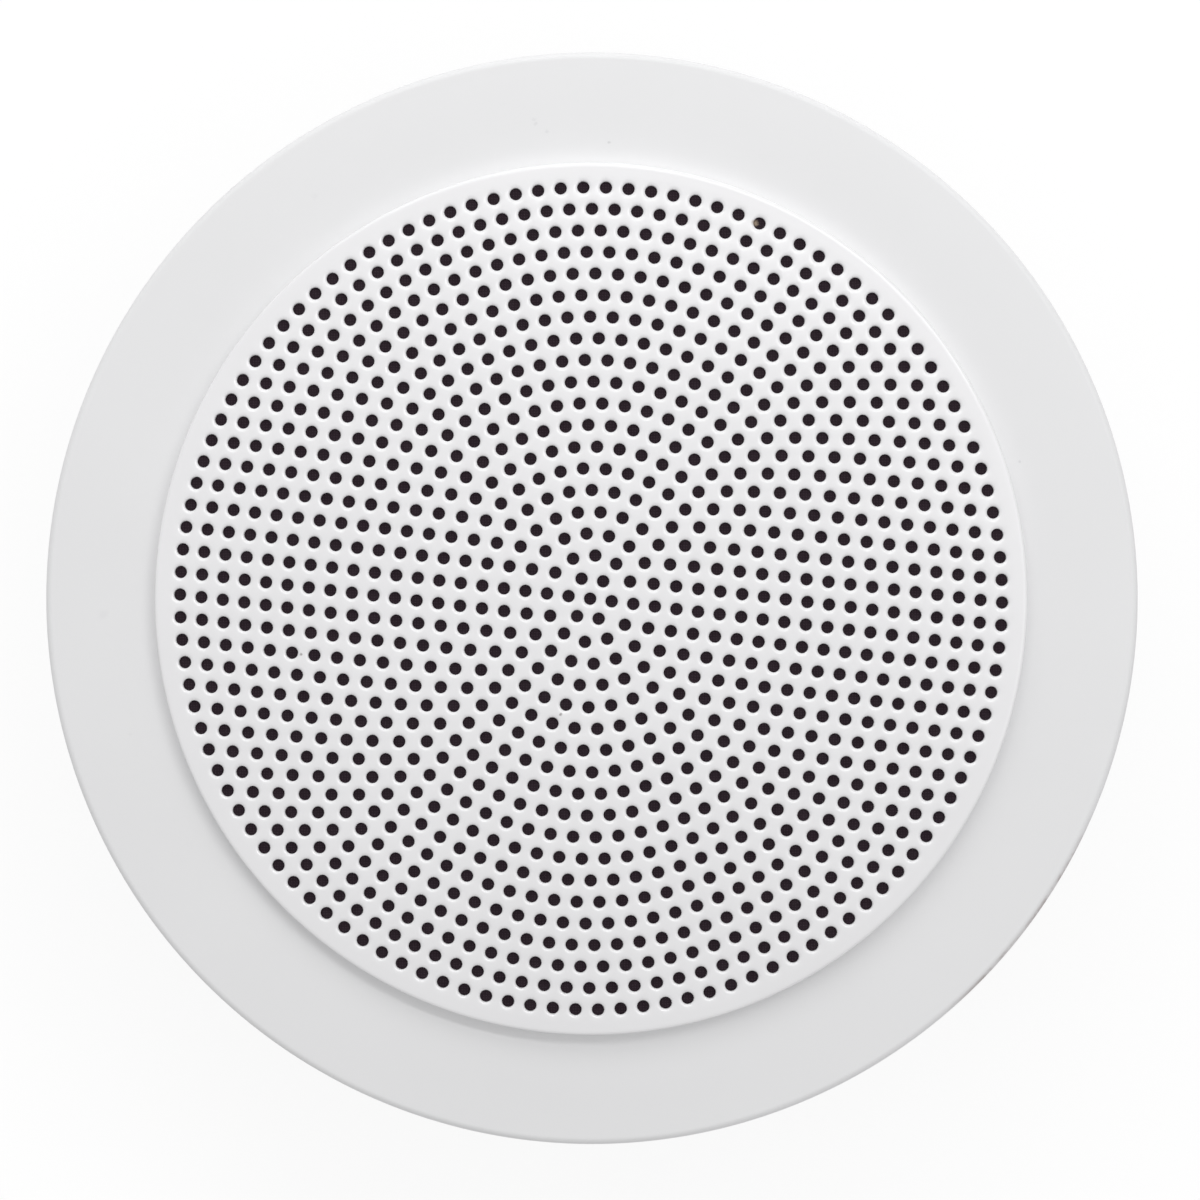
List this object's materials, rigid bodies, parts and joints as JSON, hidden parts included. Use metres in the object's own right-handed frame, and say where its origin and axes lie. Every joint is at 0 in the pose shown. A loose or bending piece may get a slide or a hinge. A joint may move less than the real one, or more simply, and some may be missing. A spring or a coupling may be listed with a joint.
{
  "type": "ceiling loudspeaker",
  "caption": "Round flush ceiling loudspeaker: a domed perforated steel grille in a moulded flange, an open-backed cone driver behind it, and sprung clips that grip the ceiling board.",
  "frame": {"origin": "on the driver's axis, at the flat back of the yoke that the loudspeaker rests on", "axes": "+Z the way the grille faces, +X to the right and +Y up as seen from the front, clips on X"},
  "size_m": [0.2018, 0.2018, 0.0731],
  "materials": {
    "white_steel": "satin",
    "white_plastic": "satin",
    "black_cloth": "matte",
    "foam": "matte",
    "black_steel": "satin",
    "plated_steel": "satin",
    "spring_steel": "satin",
    "ferrite": "matte",
    "cone_paper": "matte",
    "surround_rubber": "matte",
    "spider_cloth": "matte",
    "former_paper": "matte",
    "copper": "satin",
    "board_laminate": "satin",
    "tinned_brass": "satin",
    "white_nylon": "satin",
    "pad_rubber": "matte"
  },
  "bodies": {
    "chassis": {"yoke": "plated_steel", "magnet": "ferrite", "top_plate": "plated_steel", "basket": "black_steel", "basket_rivets": "plated_steel", "terminal_board": "board_laminate", "terminal_tags": "tinned_brass", "terminal_rivets": "tinned_brass", "tinsel_leads": "copper", "spider": "spider_cloth", "surround": "surround_rubber", "driver_gasket": "foam", "driver_screws": "spring_steel", "mounting_frame": "white_plastic", "grille": "white_steel", "scrim": "black_cloth", "clip_pin_left": "plated_steel", "clip_pin_right": "plated_steel", "clip_spring_left": "spring_steel", "clip_spring_right": "spring_steel"},
    "cone_assembly": {"cone": "cone_paper", "dust_cap": "cone_paper", "coil_former": "former_paper", "voice_coil": "copper"},
    "clip_right": {"clip_arm_right": "white_nylon", "clip_pad_right": "pad_rubber"},
    "clip_left": {"clip_arm_left": "white_nylon", "clip_pad_left": "pad_rubber"}
  },
  "joints": [
    {"name": "cone_travel", "type": "slide", "parent": "chassis", "child": "cone_assembly", "axis": [0, 0, 1], "range_m": [-0.002, 0.002], "stiffness_N_per_m": 1500, "deforming": ["surround", "spider", "tinsel_leads"]},
    {"name": "clip_right_swing", "type": "hinge", "parent": "chassis", "child": "clip_right", "pos_m": [0.0824, 0, 0.0517], "axis": [0, 1, 0], "range_deg": [0, 125], "stiffness_Nm_per_rad": 0.2, "springref_deg": -68.75, "deforming": ["clip_spring_right"]},
    {"name": "clip_left_swing", "type": "hinge", "parent": "chassis", "child": "clip_left", "pos_m": [-0.0824, 0, 0.0517], "axis": [0, -1, 0], "range_deg": [0, 125], "stiffness_Nm_per_rad": 0.2, "springref_deg": -68.75, "deforming": ["clip_spring_left"]}
  ]
}
